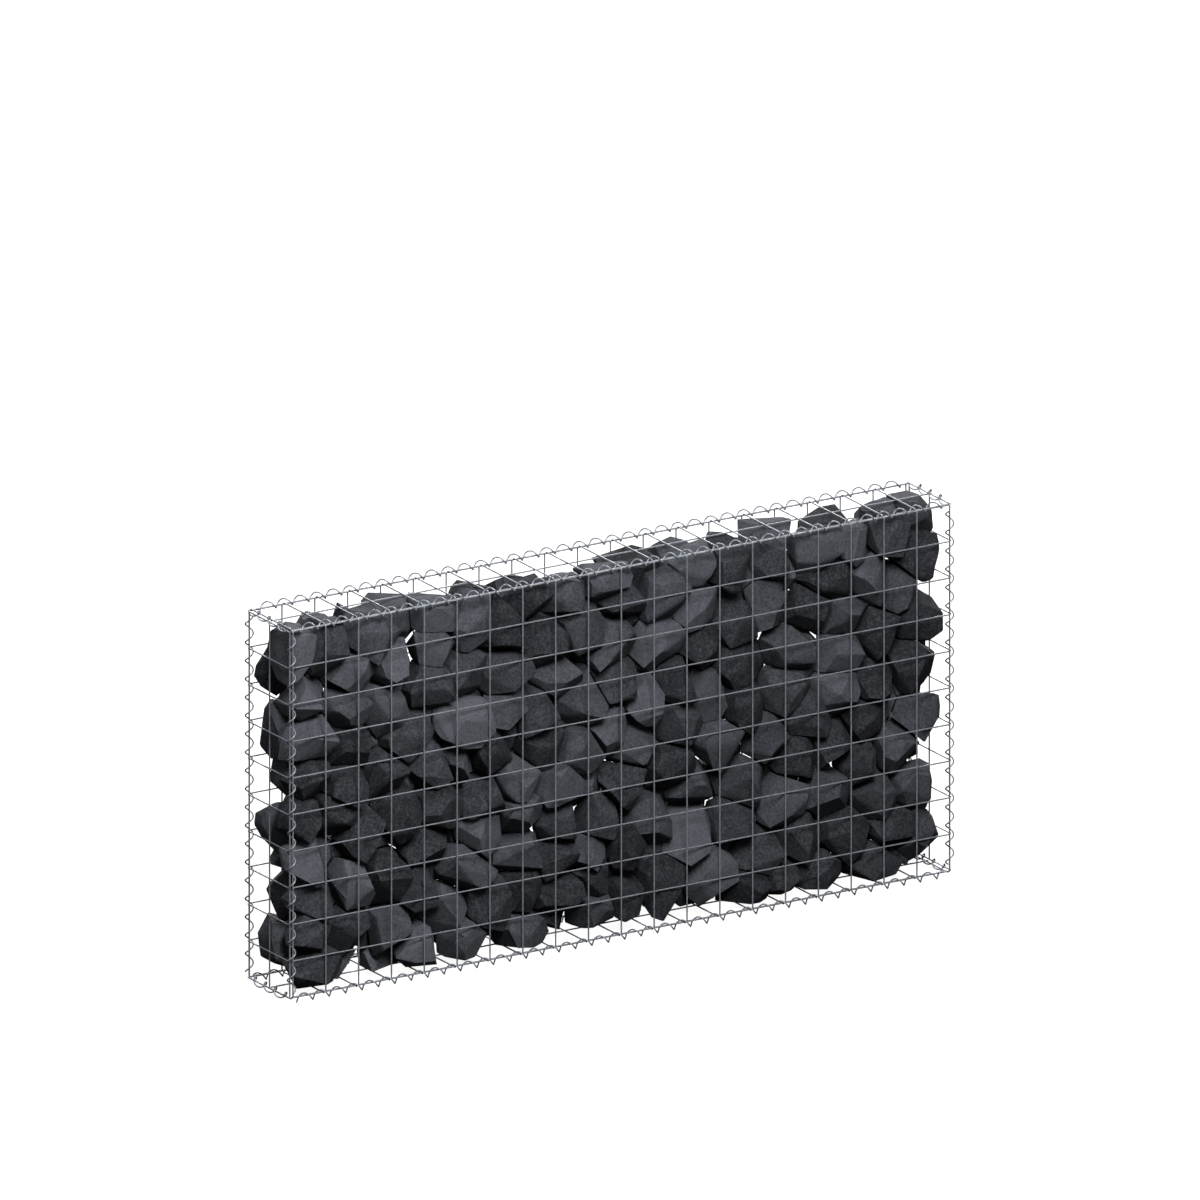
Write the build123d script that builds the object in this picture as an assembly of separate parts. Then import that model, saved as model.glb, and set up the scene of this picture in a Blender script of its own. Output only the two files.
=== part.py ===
"""Gabion wall: a welded-mesh basket laced at its edges with spiral binders and packed with quarry stone.

Millimetres, +Z up.  The length runs along X, the depth along Y, and the front faces -Y.
The basket is set out about its own middle and then stood on its lowest binder bends.
"""
import os
from itertools import product
from math import cos, pi, sin, sqrt

import numpy as np
from build123d import *
from scipy.spatial import HalfspaceIntersection

# Driving dimensions of the basket
BASKET_LENGTH = 2000.0
BASKET_DEPTH = 200.0
BASKET_HEIGHT = 1000.0
MESH = 100.0
WIRE = 4.0
PANEL_GAP = 2.5

# Spiral binders
BINDER_WIRE = 4.0
BINDER_GAP = 0.3
BINDER_BENDS = 6
BINDER_END_BENDS = 1
PITCH_SHARE = 0.5

# Quarry stones
STONE_GAP = 0.6
SEAT_GAP = 0.3
STONE_NEIGHBOURS = 26
SIZE_NEIGHBOURS = 4
STONE_FACETS = 6
WALL_FACETS = 4
FACET_REACH_SHARES = (1.00, 1.18)
WALL_REACH_SHARES = ((0.72, 0.98), (0.66, 0.92), (0.72, 0.98))
WALL_SPREAD_SHARE = 0.95
WALL_NEAR_SHARE = 1.35
CORNER_SHARE = 0.5
LAYER_SHARE = 0.24
LAYER_WANDER_SHARE = 0.05

# Where the front stones lie: across in twentieths of the length, up in tenths of the height
ACROSS_SHARE = 1 / 20
UP_SHARE = 1 / 10
COURSE_SHARES = (
    ((0.9, 0.5), (4.1, 0.5), (5.5, 0.4), (7.2, 0.4), (9.5, 0.5), (10.5, 0.7), (11.5, 0.8),
     (14.2, 0.4), (15.2, 0.5), (16.4, 0.4), (18.0, 0.3), (19.5, 1.0)),
    ((0.7, 1.5), (2.1, 1.4), (3.4, 1.2), (5.0, 1.4), (6.3, 1.3), (7.4, 1.5), (8.5, 1.2),
     (9.5, 1.5), (13.1, 1.1), (14.5, 1.2), (15.8, 1.5), (17.3, 1.3), (18.6, 1.3)),
    ((1.1, 2.3), (2.2, 2.6), (3.2, 2.5), (4.2, 2.1), (5.5, 2.5), (7.4, 2.5), (8.4, 2.1), (9.4, 2.1),
     (10.5, 2.1), (11.2, 2.7), (12.5, 2.3), (13.7, 2.2), (15.3, 2.6), (16.6, 2.6), (18.1, 2.2), (19.3, 2.3)),
    ((0.7, 3.4), (2.5, 3.8), (4.5, 3.2), (6.1, 3.3), (7.4, 3.6), (8.6, 3.1), (9.8, 3.0), (10.5, 3.9),
     (12.6, 3.4), (14.2, 3.3), (15.8, 3.7), (16.8, 3.8), (17.7, 3.1), (18.8, 3.4)),
    ((0.6, 4.6), (1.6, 4.6), (3.6, 4.3), (4.8, 4.3), (6.2, 4.2), (7.3, 4.5), (8.4, 4.1), (9.2, 5.0),
     (10.8, 4.8), (11.8, 4.1), (13.4, 4.5), (14.8, 4.3), (16.0, 4.8), (17.8, 4.4), (19.5, 4.2)),
    ((0.9, 5.7), (2.0, 5.3), (3.1, 5.4), (4.6, 5.4), (5.4, 5.3), (6.4, 5.5), (8.0, 5.3), (10.0, 5.5),
     (12.1, 5.3), (13.0, 5.9), (14.1, 5.4), (15.3, 5.7), (16.9, 5.3), (18.1, 5.3), (19.2, 5.6)),
    ((0.9, 6.8), (2.1, 6.4), (3.8, 6.3), (5.5, 6.4), (6.9, 6.5), (7.9, 6.3), (9.1, 6.3), (10.3, 6.7),
     (11.1, 6.0), (12.1, 6.4), (13.9, 6.5), (15.5, 6.6), (17.0, 6.3), (18.2, 6.7), (19.5, 6.9)),
    ((0.7, 7.8), (2.0, 7.4), (3.1, 7.2), (4.5, 7.7), (5.6, 7.8), (6.8, 7.5), (8.5, 7.1), (10.2, 7.8),
     (11.5, 7.5), (12.9, 7.2), (13.8, 7.7), (14.9, 8.0), (16.2, 7.6), (17.2, 7.3), (18.8, 7.7)),
    ((2.3, 8.3), (3.5, 8.3), (4.7, 8.6), (5.6, 9.0), (6.7, 8.7), (8.0, 8.1), (9.2, 8.4), (10.5, 8.9),
     (11.6, 8.8), (12.7, 8.4), (16.7, 8.4), (17.9, 8.2), (19.5, 8.5)),
    ((0.2, 9.4), (1.2, 9.1), (2.8, 9.4), (4.8, 9.6), (7.6, 9.5), (8.6, 9.4), (9.9, 9.6), (12.7, 9.3),
     (13.7, 9.2), (15.0, 9.3), (16.2, 9.4), (17.4, 9.3), (18.5, 9.4)),
)
OPEN_BACK_SHARES = ((9.9, 9.6), (15.0, 9.3))

# Sizes that follow from the driving dimensions
HALF_BASKET = np.array([BASKET_LENGTH, BASKET_DEPTH, BASKET_HEIGHT]) / 2
CELLS = [round(2 * half / MESH) for half in HALF_BASKET]
CELL_SIZES = [2 * half / cells for half, cells in zip(HALF_BASKET, CELLS)]

# The panels by the axis that they face: how far out they are welded, and which way their outer wires run.
# The walls close round the lid and the base, whose long wires lie beside the end rails of the walls.
STANDOFFS = (WIRE + PANEL_GAP, WIRE + PANEL_GAP, PANEL_GAP)
OUTER_ALONG = (1, 2, 1)
OUTER_SIDES = [[1 if OUTER_ALONG[normal] == along else -1 for along in range(3)] for normal in range(3)]
WIRES_OUT = [[STANDOFFS[normal] + side * WIRE / 2 for side in OUTER_SIDES[normal]] for normal in range(3)]
SHORT_EDGE_SPREAD = sqrt(WIRES_OUT[0][2]**2 + WIRES_OUT[1][2]**2)
LONG_EDGE_SPREAD = sqrt(WIRES_OUT[1][0]**2 + WIRES_OUT[2][0]**2)

# A binder's flats bear on both wires of an edge: on their far sides, or slantwise where they lie close
TRIANGLE_SHARE = sqrt(4 * pi / sqrt(27))  # corner reach of a three-sided wire with a round wire's area
BINDER_CORNER = BINDER_WIRE / 2 * TRIANGLE_SHARE
BINDER_FLAT = BINDER_CORNER / 2
BINDER_INSIDE = SHORT_EDGE_SPREAD / 2 + WIRE / sqrt(2) + BINDER_GAP
BINDER_RADIUS = (BINDER_INSIDE + BINDER_FLAT) / cos(pi / BINDER_BENDS)
BINDER_REACH = BINDER_RADIUS + 2 * BINDER_FLAT
BINDER_RISE = (SHORT_EDGE_SPREAD - LONG_EDGE_SPREAD * sin(pi / BINDER_BENDS)) / 2 / cos(pi / BINDER_BENDS)
BINDER_RISES = (BINDER_RISE, 0, 0)

AXES = np.eye(3)
SIDE_NAMES = (("left", "right"), ("front", "back"), ("bottom", "top"))
NAME_ORDER = (1, 0, 2)


def welded_panel(normal, sign):
    """A flat panel: square wires in two layers, fused where they cross."""
    outer_along = OUTER_ALONG[normal]
    across = 3 - normal - outer_along
    width = 2 * HALF_BASKET[across]
    length = 2 * HALF_BASKET[outer_along]
    outer_places = np.linspace(-width / 2, width / 2, CELLS[across] + 1)
    inner_places = np.linspace(-length / 2, length / 2, CELLS[outer_along] + 1)
    outer_wires = [Pos(place, 0, WIRE / 2) * Box(WIRE, length, WIRE) for place in outer_places]
    inner_wires = [Pos(0, place, -WIRE / 2) * Box(width, WIRE, WIRE) for place in inner_places]
    origin = AXES[normal] * sign * (HALF_BASKET[normal] + STANDOFFS[normal])
    plane = Plane(origin=tuple(origin), x_dir=tuple(AXES[across]), z_dir=tuple(AXES[normal] * sign))
    return plane * outer_wires[0].fuse(*outer_wires[1:], *inner_wires)


def spiral_binder(cells, cell_size):
    """A right-hand spiral about Z, bent from three-sided wire, with a bend facing X at each crossing wire."""
    pitch = cell_size * PITCH_SHARE
    turns = round(cells / PITCH_SHARE) - 1
    half_steps = turns * BINDER_BENDS // 2 + BINDER_END_BENDS
    rings = []
    for step in range(-half_steps, half_steps + 1):
        turn = 2 * pi * step / BINDER_BENDS
        outward = np.array([cos(turn), sin(turn), 0])
        forward = np.array([-sin(turn) * BINDER_RADIUS, cos(turn) * BINDER_RADIUS, pitch / (2 * pi)])
        sideways = np.cross(forward / np.linalg.norm(forward), outward)
        middle = outward * BINDER_RADIUS + AXES[2] * pitch * step / BINDER_BENDS
        corner_angles = [2 * pi * corner / 3 for corner in range(3)]
        rings.append([middle + BINDER_CORNER * (cos(a) * outward + sin(a) * sideways) for a in corner_angles])
    faces = [flat_face(rings[0]), flat_face(rings[-1][::-1])]
    for ring, following in zip(rings, rings[1:]):
        for corner in range(3):
            beside = (corner + 1) % 3
            faces.append(flat_face((ring[corner], following[corner], ring[beside])))
            faces.append(flat_face((following[corner], following[beside], ring[beside])))
    return Solid(Shell(faces))


def flat_face(points):
    """A flat face through its corner points."""
    return Face(Wire.make_polygon([Vector(*point) for point in points], close=True))


def unit(vector):
    """The direction of a vector."""
    return vector / np.linalg.norm(vector)


def edge_frame(along, first_sign, second_sign):
    """The frame of the binder on one edge: X outward and Z along the edge, with both edge wires inside."""
    first = (along + 1) % 3
    second = (along + 2) % 3
    first_out = AXES[first] * first_sign
    second_out = AXES[second] * second_sign
    corner = first_out * HALF_BASKET[first] + second_out * HALF_BASKET[second]
    first_wire = corner + first_out * WIRES_OUT[first][along]
    second_wire = corner + second_out * WIRES_OUT[second][along]
    across = unit(second_wire - first_wire)
    outward = unit(np.cross(across, np.cross(first_out + second_out, across)))
    origin = (first_wire + second_wire) / 2 + outward * BINDER_RISES[along]
    return Plane(origin=tuple(origin), x_dir=tuple(outward), z_dir=tuple(np.cross(outward, across)))


def edge_name(along, first_sign, second_sign):
    """The name of an edge's binder, such as front_left_binder."""
    signs = {(along + 1) % 3: first_sign, (along + 2) % 3: second_sign}
    words = [SIDE_NAMES[axis][signs[axis] > 0] for axis in NAME_ORDER if axis in signs]
    return "_".join(words + ["binder"])


def stone_places():
    """The middle of every stone with its course: a front layer, and a back layer turned end for end."""
    wander = np.random.default_rng(len(COURSE_SHARES))
    places = []
    for course, stones in enumerate(COURSE_SHARES):
        for across, up in stones:
            x = (across * ACROSS_SHARE - 1 / 2) * BASKET_LENGTH
            z = (up * UP_SHARE - 1 / 2) * BASKET_HEIGHT
            for side in (-1, 1):
                depth = LAYER_SHARE + wander.uniform(-LAYER_WANDER_SHARE, LAYER_WANDER_SHARE)
                if side < 0 or (across, up) not in OPEN_BACK_SHARES:
                    places.append((course, np.array([-side * x, side * depth * BASKET_DEPTH, z])))
    return places


def basket_planes():
    """Planes that keep the stones inside the panels and clear of the binders, as outward normal and reach."""
    planes = []
    for axis, sign in product(range(3), (-1, 1)):
        planes.append((AXES[axis] * sign, HALF_BASKET[axis] + STANDOFFS[axis] - WIRE - SEAT_GAP))
    for along, first_sign, second_sign in product(range(3), (-1, 1), (-1, 1)):
        frame = edge_frame(along, first_sign, second_sign)
        slant = unit(AXES[(along + 1) % 3] * first_sign + AXES[(along + 2) % 3] * second_sign)
        planes.append((slant, slant @ np.array(tuple(frame.origin)) - BINDER_REACH - SEAT_GAP))
    return planes


def quarry_stone(number, middle, middles, walls):
    """One angular stone: split off its neighbours, cleaved on its outer sides and kept inside the basket."""
    cleaver = np.random.default_rng(number)
    away = middles - middle
    spans = np.linalg.norm(away, axis=1)
    nearest = np.argsort(spans)[1:STONE_NEIGHBOURS + 1]
    size = spans[nearest[:SIZE_NEIGHBOURS]].mean() / 2
    planes = [(away[i] / spans[i], spans[i] / 2 - STONE_GAP / 2) for i in nearest]
    planes += [(normal, reach - normal @ middle) for normal, reach in walls]
    for facet in range(STONE_FACETS):
        facing = cleaver.normal(size=3)
        facing[1] = abs(facing[1]) * np.sign(middle[1])
        planes.append((unit(facing), size * cleaver.uniform(*FACET_REACH_SHARES)))
    for axis, side in enumerate(np.sign(middle)):
        room = HALF_BASKET[axis] - abs(middle[axis])
        facets = WALL_FACETS if room < size * WALL_NEAR_SHARE else 0
        for facet in range(facets):
            facing = unit(cleaver.normal(size=3)) * WALL_SPREAD_SHARE + AXES[axis] * side
            planes.append((unit(facing), size * cleaver.uniform(*WALL_REACH_SHARES[axis])))
    halfspaces = np.array([[*normal, -reach] for normal, reach in planes])
    corners = HalfspaceIntersection(halfspaces, np.zeros(3)).intersections
    kept = []
    for corner in sorted(corners, key=np.linalg.norm, reverse=True):
        if all(np.linalg.norm(corner - other) > size * CORNER_SHARE for other in kept):
            kept.append(corner)
    return ConvexPolyhedron([tuple(corner + middle) for corner in kept])


def build_wall():
    """Every piece of the wall by node name, set out about the middle of the basket."""
    pieces = {}
    for sign in (-1, 1):
        pieces[f"{SIDE_NAMES[1][sign > 0]}_panel"] = welded_panel(1, sign)
        pieces[f"{SIDE_NAMES[0][sign > 0]}_end_panel"] = welded_panel(0, sign)
    pieces["base_panel"] = welded_panel(2, -1)
    pieces["lid_panel"] = welded_panel(2, 1)
    for along in range(3):
        binder = spiral_binder(CELLS[along], CELL_SIZES[along])
        for first_sign, second_sign in product((-1, 1), (-1, 1)):
            frame = edge_frame(along, first_sign, second_sign)
            pieces[edge_name(along, first_sign, second_sign)] = binder.moved(frame.location)
    places = stone_places()
    middles = np.array([middle for course, middle in places])
    walls = basket_planes()
    courses = [[] for course in COURSE_SHARES]
    for number, (course, middle) in enumerate(places):
        courses[course].append(quarry_stone(number, middle, middles, walls))
    for course, stones in enumerate(courses, 1):
        pieces[f"stone_course_{course:02d}"] = Compound(children=stones)
    return pieces


wall = build_wall()
foot = min(piece.bounding_box().min.Z for piece in wall.values())
os.makedirs("parts", exist_ok=True)
for name, piece in wall.items():
    export_step(piece.moved(Location((0, 0, -foot))), f"parts/{name}.step")
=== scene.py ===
import math
import random

import bpy
from mathutils import Matrix, Vector


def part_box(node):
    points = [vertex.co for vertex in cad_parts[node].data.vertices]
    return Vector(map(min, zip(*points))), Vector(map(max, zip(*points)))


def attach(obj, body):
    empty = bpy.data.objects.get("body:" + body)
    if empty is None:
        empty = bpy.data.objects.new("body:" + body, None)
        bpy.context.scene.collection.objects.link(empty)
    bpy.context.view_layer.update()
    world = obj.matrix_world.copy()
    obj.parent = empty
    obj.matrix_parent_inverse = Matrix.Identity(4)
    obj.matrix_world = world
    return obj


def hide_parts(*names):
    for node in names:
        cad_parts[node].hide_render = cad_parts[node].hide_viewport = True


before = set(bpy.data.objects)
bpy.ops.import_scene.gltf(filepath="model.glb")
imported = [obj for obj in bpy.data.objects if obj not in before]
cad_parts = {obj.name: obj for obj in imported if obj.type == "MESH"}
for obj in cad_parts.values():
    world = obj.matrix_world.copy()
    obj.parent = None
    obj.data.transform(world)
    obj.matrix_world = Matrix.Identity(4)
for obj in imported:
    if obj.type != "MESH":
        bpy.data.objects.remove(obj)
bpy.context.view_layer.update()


# Welded mesh panels: straight 4 mm steel wires in two layers, welded to each other at every crossing of the
# 100 mm squares and hot-dip galvanised.  Six flat panels with a wire along every edge make the basket.
X = 0
Y = 1
Z = 2
MESH = 0.100
WIRE = 0.004
WIRE_SIDES = 12
WIRE_SMOOTHING = math.radians(40)
CUT_CHAMFER = 0.0005
CUT_FACING = 0.9  # a face whose normal lies this closely along the wire is a cut end
WELD_RADIUS = 0.0019
WELD_SEGMENTS = 8
WELD_RINGS = 4

ZINC_DARK = (0.124, 0.132, 0.147, 1.0)
ZINC_LIGHT = (0.218, 0.232, 0.259, 1.0)
ZINC_METALLIC = 0.5
ZINC_ROUGHNESS = (0.36, 0.52)
SPANGLE_SCALE = 260.0

zinc = bpy.data.materials.new("hot_dip_zinc")
zinc.use_nodes = True
nodes = zinc.node_tree.nodes
links = zinc.node_tree.links
zinc_shader = nodes["Principled BSDF"]
zinc_shader.inputs["Metallic"].default_value = ZINC_METALLIC
zinc_place = nodes.new("ShaderNodeTexCoord")
spangle = nodes.new("ShaderNodeTexVoronoi")
spangle.inputs["Scale"].default_value = SPANGLE_SCALE
spangle_tone = nodes.new("ShaderNodeValToRGB")
spangle_tone.color_ramp.elements[0].color = ZINC_DARK
spangle_tone.color_ramp.elements[1].color = ZINC_LIGHT
spangle_gloss = nodes.new("ShaderNodeMapRange")
spangle_gloss.inputs["To Min"].default_value = ZINC_ROUGHNESS[0]
spangle_gloss.inputs["To Max"].default_value = ZINC_ROUGHNESS[1]
links.new(zinc_place.outputs["Object"], spangle.inputs["Vector"])
links.new(spangle.outputs["Color"], spangle_tone.inputs["Fac"])
links.new(spangle.outputs["Color"], spangle_gloss.inputs["Value"])
links.new(spangle_tone.outputs["Color"], zinc_shader.inputs["Base Color"])
links.new(spangle_gloss.outputs["Result"], zinc_shader.inputs["Roughness"])


def axis_vector(axis, length):
    """A vector of a given length along X, Y or Z."""
    vector = Vector((0, 0, 0))
    vector[axis] = length
    return vector


def apply_modifier(piece, name, kind, **settings):
    """Adds a modifier to the active piece, with its settings, and makes its result the piece's mesh."""
    modifier = piece.modifiers.new(name, kind)
    for setting, value in settings.items():
        setattr(modifier, setting, value)
    bpy.ops.object.modifier_apply(modifier=modifier.name)


def repeat(piece, count, step):
    """Copies the active piece in a row, as one mesh."""
    apply_modifier(piece, "row", "ARRAY", count=count, use_relative_offset=False, use_constant_offset=True,
                   constant_offset_displace=step)


def lay_wires(along, length, first, count, step):
    """A row of like straight wires with chamfered cut ends, the first with its middle at a given point."""
    bpy.ops.object.select_all(action="DESELECT")
    turn = Vector((0, 0, 1)).rotation_difference(axis_vector(along, 1)).to_euler()
    bpy.ops.mesh.primitive_cylinder_add(vertices=WIRE_SIDES, radius=WIRE / 2, depth=length,
                                        location=first, rotation=turn)
    wires = bpy.context.object
    bpy.ops.object.transform_apply(location=True, rotation=True, scale=True)
    bpy.ops.object.mode_set(mode="EDIT")
    bpy.ops.mesh.select_mode(type="FACE")
    bpy.ops.mesh.select_all(action="DESELECT")
    bpy.ops.object.mode_set(mode="OBJECT")
    for face in wires.data.polygons:
        face.select = abs(face.normal[along]) > CUT_FACING
    bpy.ops.object.mode_set(mode="EDIT")
    bpy.ops.mesh.bevel(offset=CUT_CHAMFER, segments=1, affect="EDGES")
    bpy.ops.object.mode_set(mode="OBJECT")
    repeat(wires, count, step)
    return wires


def make_panel(node, normal, outward, outer_along):
    """One panel: its outer wires, its inner wires and the small round welds between them."""
    across = X + Y + Z - normal - outer_along
    low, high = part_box(node)
    middle = (low + high) / 2
    length = high[outer_along] - low[outer_along] - WIRE
    width = high[across] - low[across] - WIRE
    outer_count = round(width / MESH) + 1
    inner_count = round(length / MESH) + 1
    outer_step = axis_vector(across, width / (outer_count - 1))
    inner_step = axis_vector(outer_along, length / (inner_count - 1))
    layer = axis_vector(normal, outward * WIRE / 2)
    outer_first = middle + layer - axis_vector(across, width / 2)
    inner_first = middle - layer - axis_vector(outer_along, length / 2)
    outer_wires = lay_wires(outer_along, length, outer_first, outer_count, outer_step)
    inner_wires = lay_wires(across, width, inner_first, inner_count, inner_step)
    corner = middle - axis_vector(across, width / 2) - axis_vector(outer_along, length / 2)
    bpy.ops.object.select_all(action="DESELECT")
    bpy.ops.mesh.primitive_uv_sphere_add(segments=WELD_SEGMENTS, ring_count=WELD_RINGS, radius=WELD_RADIUS,
                                         location=corner)
    welds = bpy.context.object
    bpy.ops.object.transform_apply(location=True, rotation=True, scale=True)
    repeat(welds, outer_count, outer_step)
    repeat(welds, inner_count, inner_step)
    bpy.ops.object.select_all(action="DESELECT")
    for piece in (outer_wires, inner_wires, welds):
        piece.select_set(True)
    bpy.context.view_layer.objects.active = outer_wires
    bpy.ops.object.join()
    bpy.ops.object.shade_smooth_by_angle(angle=WIRE_SMOOTHING)
    outer_wires.name = node.replace("panel", "mesh")
    outer_wires.data.materials.append(zinc)
    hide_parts(node)
    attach(outer_wires, "root")


make_panel("base_panel", normal=Z, outward=-1, outer_along=Y)
make_panel("left_end_panel", normal=X, outward=-1, outer_along=Y)
make_panel("right_end_panel", normal=X, outward=1, outer_along=Y)
make_panel("back_panel", normal=Y, outward=1, outer_along=Z)
make_panel("front_panel", normal=Y, outward=-1, outer_along=Z)
make_panel("lid_panel", normal=Z, outward=1, outer_along=Y)


# Spiral binders: 4 mm galvanised wire wound into open right-hand spirals, two turns to a mesh square.  Each
# is screwed along one edge of the basket, round the edge wires of the two panels that meet there.
BINDER_WIRE = 0.004
BINDER_SIDES = 8
BINDER_RADIUS = 0.0103
BINDER_PITCH = MESH / 2
BINDER_STEPS = 24
BINDER_END_TURNS = 0.2
BINDER_SMOOTHING = math.radians(50)


def wind_binder(node, along, bearing):
    """One spiral, wound about Z and laid along its edge.  The bearing of the wire halfway along, in degrees
    from the next axis, keeps the turns clear of the crossing wires."""
    low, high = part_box(node)
    turns = math.floor((high[along] - low[along]) / BINDER_PITCH) + 2 * BINDER_END_TURNS
    lead = math.atan2(BINDER_PITCH, 2 * math.pi * BINDER_RADIUS)
    bpy.ops.object.select_all(action="DESELECT")
    bpy.ops.mesh.primitive_circle_add(vertices=BINDER_SIDES, radius=BINDER_WIRE / 2,
                                      location=(BINDER_RADIUS, 0, -turns * BINDER_PITCH / 2),
                                      rotation=(math.pi / 2, 0, 0))
    spiral = bpy.context.object
    spiral.scale = (1, 1 / math.cos(lead), 1)
    bpy.ops.object.transform_apply(location=True, rotation=True, scale=True)
    steps = round(BINDER_STEPS * turns)
    apply_modifier(spiral, "winding", "SCREW", axis="Z", angle=2 * math.pi * turns,
                   screw_offset=BINDER_PITCH * turns, steps=steps, render_steps=steps)
    bpy.ops.object.mode_set(mode="EDIT")
    bpy.ops.mesh.select_all(action="SELECT")
    bpy.ops.mesh.fill_holes(sides=BINDER_SIDES)
    bpy.ops.mesh.normals_make_consistent(inside=False)
    bpy.ops.object.mode_set(mode="OBJECT")
    axes = [axis_vector((along + 1) % 3, 1), axis_vector((along + 2) % 3, 1), axis_vector(along, 1)]
    lay = Matrix(axes).transposed().to_4x4()
    turn = Matrix.Rotation(math.radians(bearing) - math.pi * turns, 4, "Z")
    spiral.matrix_world = Matrix.Translation((low + high) / 2) @ lay @ turn
    bpy.ops.object.transform_apply(location=True, rotation=True, scale=True)
    bpy.ops.object.shade_smooth_by_angle(angle=BINDER_SMOOTHING)
    spiral.name = node.replace("binder", "spiral")
    spiral.data.materials.append(zinc)
    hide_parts(node)
    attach(spiral, "root")


wind_binder("front_bottom_binder", along=X, bearing=162)
wind_binder("back_bottom_binder", along=X, bearing=276)
wind_binder("left_bottom_binder", along=Y, bearing=207)
wind_binder("right_bottom_binder", along=Y, bearing=153)
wind_binder("front_left_binder", along=Z, bearing=161)
wind_binder("front_right_binder", along=Z, bearing=333)
wind_binder("back_left_binder", along=Z, bearing=55)
wind_binder("back_right_binder", along=Z, bearing=27)
wind_binder("front_top_binder", along=X, bearing=60)
wind_binder("back_top_binder", along=X, bearing=61)
wind_binder("left_top_binder", along=Y, bearing=333)
wind_binder("right_top_binder", along=Y, bearing=27)


# Quarry stones: broken dark basalt of fist to head size, laid in by hand in courses, flat faces outwards.
# The stones are bare, fine-grained and matte, with sharp arrises that have lost a little at their edges.
CORNER_MERGE = 0.0001
FACET_ANGLE = math.radians(8)
CHAMFER = 0.008
CHAMFERED_SHARE = 0.45
STONE_SPLIT_LEVELS = 2
ARRIS_SOFTENING = 0.2
FACE_WAVE = 0.045
FACE_WAVE_OCTAVES = 2
FACE_WAVE_DEPTH = 0.0012
CHIP = 0.013
CHIP_OCTAVES = 1
CHIP_DEPTH = 0.0008
STONE_SMOOTHING = math.radians(18)
STONE_SEED = 7
TONE_RANGE = 0.45
TONE_BIAS = 1.5  # above 1, more of the stones are dark
BEDDING_RANGE = 6.28

STONE_DARK = (0.0042, 0.0049, 0.0066, 1.0)
STONE_LIGHT = (0.0482, 0.0522, 0.0612, 1.0)
DARK_BELOW = 0.45
LIGHT_ABOVE = 1.0
STONE_ROUGHNESS = 0.9
STONE_SPECULAR = 0.25
BEDDING_AXIS = (0.6, 0.8, 0.2)
STREAK_STRETCH = (1.0, 1.0, 5.0)
STREAK_SCALE = 16.0
STREAK_DETAIL = 6.0
STREAK_SHARE = 0.3
GRAIN_SCALE = 150.0
GRAIN_DETAIL = 4.0
GRAIN_SHARE = 0.7
PIT_STRENGTH = 0.6
PIT_DEPTH = 0.002

basalt = bpy.data.materials.new("broken_basalt")
basalt.use_nodes = True
nodes = basalt.node_tree.nodes
links = basalt.node_tree.links
stone_shader = nodes["Principled BSDF"]
stone_shader.inputs["Roughness"].default_value = STONE_ROUGHNESS
stone_shader.inputs["Specular IOR Level"].default_value = STONE_SPECULAR
stone_place = nodes.new("ShaderNodeTexCoord")
tone = nodes.new("ShaderNodeAttribute")
tone.attribute_name = "stone_tone"
bedding = nodes.new("ShaderNodeAttribute")
bedding.attribute_name = "stone_bedding"
turned = nodes.new("ShaderNodeVectorRotate")
turned.inputs["Axis"].default_value = BEDDING_AXIS
stretched = nodes.new("ShaderNodeMapping")
stretched.inputs["Scale"].default_value = STREAK_STRETCH
streaks = nodes.new("ShaderNodeTexNoise")
streaks.inputs["Scale"].default_value = STREAK_SCALE
streaks.inputs["Detail"].default_value = STREAK_DETAIL
grain = nodes.new("ShaderNodeTexNoise")
grain.inputs["Scale"].default_value = GRAIN_SCALE
grain.inputs["Detail"].default_value = GRAIN_DETAIL
streak_share = nodes.new("ShaderNodeMath")
streak_share.operation = "MULTIPLY_ADD"
streak_share.inputs[1].default_value = STREAK_SHARE
grain_share = nodes.new("ShaderNodeMath")
grain_share.operation = "MULTIPLY_ADD"
grain_share.inputs[1].default_value = GRAIN_SHARE
stone_colour = nodes.new("ShaderNodeValToRGB")
stone_colour.color_ramp.elements[0].position = DARK_BELOW
stone_colour.color_ramp.elements[0].color = STONE_DARK
stone_colour.color_ramp.elements[1].position = LIGHT_ABOVE
stone_colour.color_ramp.elements[1].color = STONE_LIGHT
pits = nodes.new("ShaderNodeBump")
pits.inputs["Strength"].default_value = PIT_STRENGTH
pits.inputs["Distance"].default_value = PIT_DEPTH
links.new(stone_place.outputs["Object"], turned.inputs["Vector"])
links.new(bedding.outputs["Fac"], turned.inputs["Angle"])
links.new(turned.outputs["Vector"], stretched.inputs["Vector"])
links.new(stretched.outputs["Vector"], streaks.inputs["Vector"])
links.new(stone_place.outputs["Object"], grain.inputs["Vector"])
links.new(streaks.outputs["Fac"], streak_share.inputs[0])
links.new(tone.outputs["Fac"], streak_share.inputs[2])
links.new(grain.outputs["Fac"], grain_share.inputs[0])
links.new(streak_share.outputs["Value"], grain_share.inputs[2])
links.new(grain_share.outputs["Value"], stone_colour.inputs["Fac"])
links.new(stone_colour.outputs["Color"], stone_shader.inputs["Base Color"])
links.new(grain.outputs["Fac"], pits.inputs["Height"])
links.new(pits.outputs["Normal"], stone_shader.inputs["Normal"])

face_wave = bpy.data.textures.new("stone_face_wave", "CLOUDS")
face_wave.noise_scale = FACE_WAVE
face_wave.noise_depth = FACE_WAVE_OCTAVES
chips = bpy.data.textures.new("stone_chips", "CLOUDS")
chips.noise_scale = CHIP
chips.noise_depth = CHIP_OCTAVES


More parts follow.
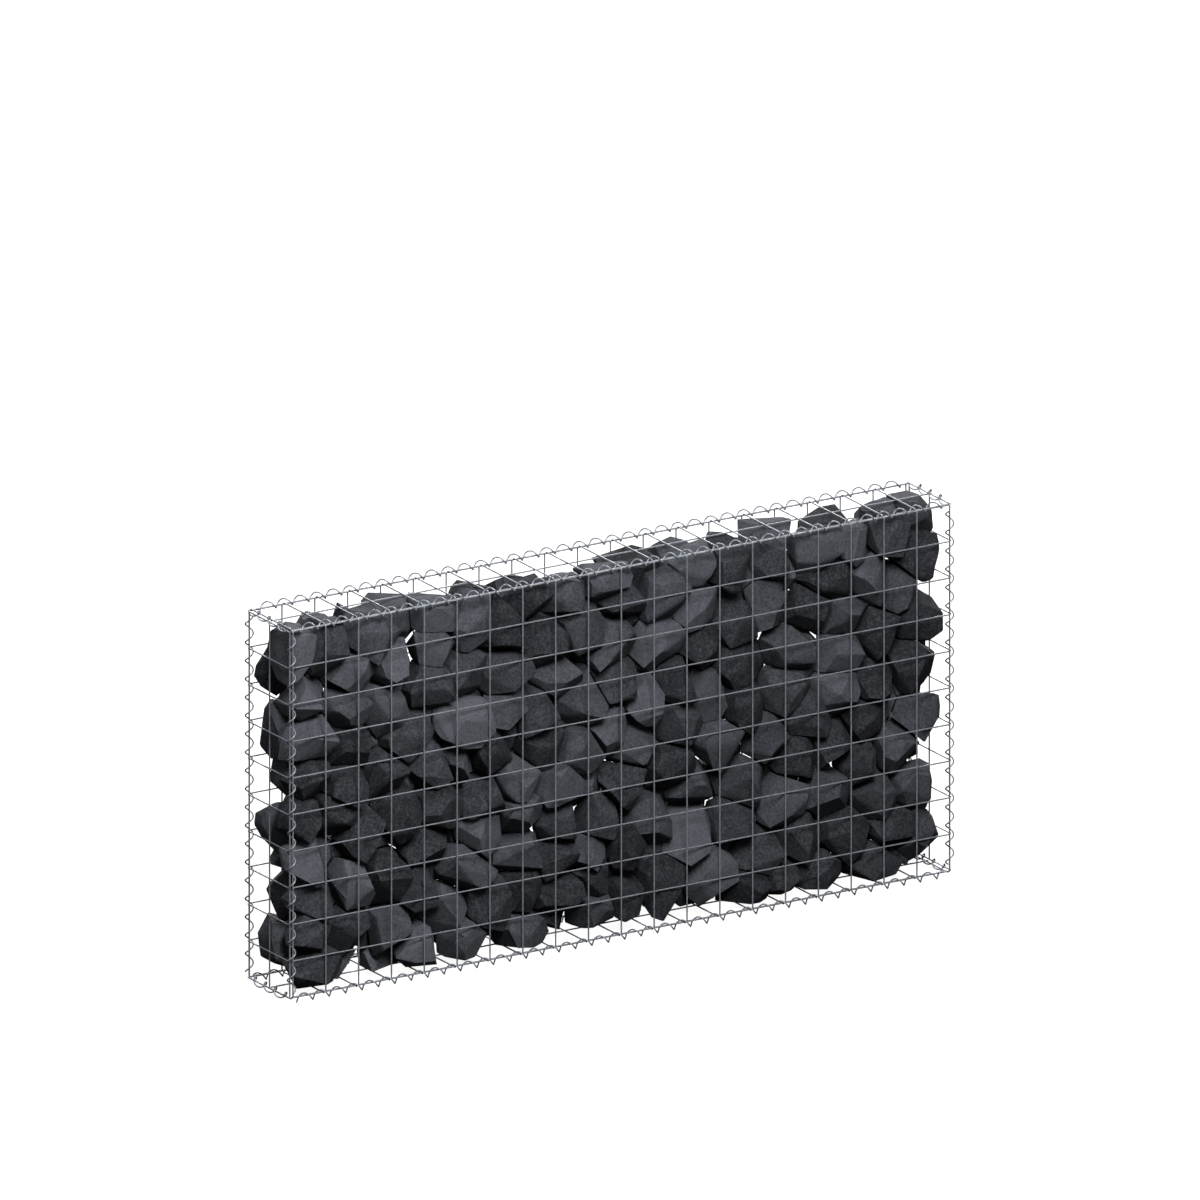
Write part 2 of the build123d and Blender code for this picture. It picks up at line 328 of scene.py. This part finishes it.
def wear_away(stones, texture, depth):
    """Takes up to a given depth off the stones, unevenly, so that no stone grows."""
    apply_modifier(stones, "wear", "DISPLACE", texture=texture, texture_coords="LOCAL", strength=depth,
                   mid_level=1.0)


def note_values(stone, name, domain, values):
    """Keeps one number for each corner or edge of a stone, under a name."""
    stone.data.attributes.new(name, "FLOAT", domain).data.foreach_set("value", values)


quarry = random.Random(STONE_SEED)
for node in sorted(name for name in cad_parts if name.startswith("stone_course")):
    course = bpy.data.objects.new(node.replace("course", "layer"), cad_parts[node].data.copy())
    course.data.materials.clear()
    bpy.context.scene.collection.objects.link(course)
    bpy.ops.object.select_all(action="DESELECT")
    course.select_set(True)
    bpy.context.view_layer.objects.active = course
    bpy.ops.object.mode_set(mode="EDIT")
    bpy.ops.mesh.select_all(action="SELECT")
    bpy.ops.mesh.remove_doubles(threshold=CORNER_MERGE)
    bpy.ops.mesh.dissolve_limited(angle_limit=FACET_ANGLE)
    bpy.ops.mesh.separate(type="LOOSE")
    bpy.ops.object.mode_set(mode="OBJECT")
    for stone in bpy.context.selected_objects:
        corners = len(stone.data.vertices)
        note_values(stone, "stone_tone", "POINT", [TONE_RANGE * quarry.random()**TONE_BIAS] * corners)
        note_values(stone, "stone_bedding", "POINT", [quarry.uniform(0, BEDDING_RANGE)] * corners)
        broken = [quarry.random() if quarry.random() < CHAMFERED_SHARE else 0.0 for edge in stone.data.edges]
        note_values(stone, "bevel_weight_edge", "EDGE", broken)
    bpy.ops.object.join()
    apply_modifier(course, "chamfer", "BEVEL", limit_method="WEIGHT", width=CHAMFER, segments=1)
    apply_modifier(course, "split", "SUBSURF", subdivision_type="SIMPLE", levels=STONE_SPLIT_LEVELS,
                   render_levels=STONE_SPLIT_LEVELS)
    apply_modifier(course, "soften", "SMOOTH", factor=ARRIS_SOFTENING, iterations=1)
    wear_away(course, face_wave, FACE_WAVE_DEPTH)
    wear_away(course, chips, CHIP_DEPTH)
    bpy.ops.object.shade_smooth_by_angle(angle=STONE_SMOOTHING)
    course.data.materials.append(basalt)
    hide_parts(node)
    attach(course, "root")


# Studio: a plain white floor that glows like a light table and runs out of view, a dome of soft light that is
# strongest overhead, a broad key light at the upper front left, a weaker fill light at the back right, and a
# camera without perspective.
FLOOR_SIZE = 60.0
FLOOR_WHITE = (0.20, 0.20, 0.20, 1.0)
FLOOR_ROUGHNESS = 1.0
FLOOR_SPECULAR = 0.0
FLOOR_GLOW_COLOUR = (1.0, 1.0, 1.0, 1.0)
FLOOR_GLOW = 0.93
BACKDROP_WHITE = (1.0, 1.0, 1.0, 1.0)
DOME_BELOW = (0.02, 0.02, 0.02, 1.0)
DOME_HORIZON = (0.22, 0.22, 0.22, 1.0)
DOME_TOP = (0.62, 0.62, 0.62, 1.0)
BELOW_PLACE = 0.40  # places on the dome from its lowest point, 0, to its highest, 1
HORIZON_PLACE = 0.5
TOP_PLACE = 1.0
KEY_PLACE = Vector((-1.6, -4.2, 4.6))
KEY_SIZE = 2.0
KEY_POWER = 700.0
FILL_PLACE = Vector((2.8, 4.6, 2.6))
FILL_SIZE = 3.0
FILL_POWER = 420.0
LIGHT_AIM = Vector((0, 0, 0.5))
CAMERA_TURN = math.radians(-31.6)
CAMERA_RISE = math.radians(18.3)
CAMERA_DISTANCE = 12.0
CAMERA_REACH = 100.0
PICTURE_WIDTH = 3.1124
AIM_RIGHT = 0.0015
AIM_UP = 0.857

bpy.ops.object.select_all(action="DESELECT")
bpy.ops.mesh.primitive_plane_add(size=FLOOR_SIZE)
floor = bpy.context.object
floor.name = "studio_floor"
# The floor shows to the camera but throws no light up into the basket.
floor.visible_diffuse = False
floor.visible_glossy = False
floor_paint = bpy.data.materials.new("studio_white")
floor_paint.use_nodes = True
floor_shader = floor_paint.node_tree.nodes["Principled BSDF"]
floor_shader.inputs["Base Color"].default_value = FLOOR_WHITE
floor_shader.inputs["Roughness"].default_value = FLOOR_ROUGHNESS
floor_shader.inputs["Specular IOR Level"].default_value = FLOOR_SPECULAR
floor_shader.inputs["Emission Color"].default_value = FLOOR_GLOW_COLOUR
floor_shader.inputs["Emission Strength"].default_value = FLOOR_GLOW
floor.data.materials.append(floor_paint)

dome = bpy.data.worlds.new("studio_dome")
dome.use_nodes = True
nodes = dome.node_tree.nodes
links = dome.node_tree.links
dome_way = nodes.new("ShaderNodeTexCoord")
dome_height = nodes.new("ShaderNodeSeparateXYZ")
dome_share = nodes.new("ShaderNodeMapRange")
dome_share.inputs["From Min"].default_value = -1.0
dome_light = nodes.new("ShaderNodeValToRGB")
dome_light.color_ramp.elements[0].position = BELOW_PLACE
dome_light.color_ramp.elements[0].color = DOME_BELOW
dome_light.color_ramp.elements[1].position = TOP_PLACE
dome_light.color_ramp.elements[1].color = DOME_TOP
dome_light.color_ramp.elements.new(HORIZON_PLACE).color = DOME_HORIZON
links.new(dome_way.outputs["Generated"], dome_height.inputs["Vector"])
links.new(dome_height.outputs["Z"], dome_share.inputs["Value"])
links.new(dome_share.outputs["Result"], dome_light.inputs["Fac"])
# The dome is a white backdrop where the camera looks past the floor.
seen_dome = nodes.new("ShaderNodeLightPath")
dome_view = nodes.new("ShaderNodeMix")
dome_view.data_type = "RGBA"
dome_view.inputs["B"].default_value = BACKDROP_WHITE
links.new(seen_dome.outputs["Is Camera Ray"], dome_view.inputs["Factor"])
links.new(dome_light.outputs["Color"], dome_view.inputs["A"])
links.new(dome_view.outputs["Result"], nodes["Background"].inputs["Color"])
bpy.context.scene.world = dome

for name, place, size, power in (("key_light", KEY_PLACE, KEY_SIZE, KEY_POWER),
                                 ("fill_light", FILL_PLACE, FILL_SIZE, FILL_POWER)):
    bpy.ops.object.light_add(type="AREA", location=place)
    light = bpy.context.object
    light.name = name
    light.data.size = size
    light.data.energy = power
    light.rotation_euler = (LIGHT_AIM - place).to_track_quat("-Z", "Y").to_euler()

right = Vector((math.cos(CAMERA_TURN), math.sin(CAMERA_TURN), 0))
back = Vector((math.sin(CAMERA_TURN) * math.cos(CAMERA_RISE), -math.cos(CAMERA_TURN) * math.cos(CAMERA_RISE),
               math.sin(CAMERA_RISE)))
up = back.cross(right)
bpy.ops.object.camera_add(location=right * AIM_RIGHT + up * AIM_UP + back * CAMERA_DISTANCE)
camera = bpy.context.object
camera.rotation_euler = (-back).to_track_quat("-Z", "Y").to_euler()
camera.data.type = "ORTHO"
camera.data.ortho_scale = PICTURE_WIDTH
camera.data.clip_end = CAMERA_REACH
bpy.context.scene.camera = camera
bpy.context.scene.view_settings.view_transform = "Standard"
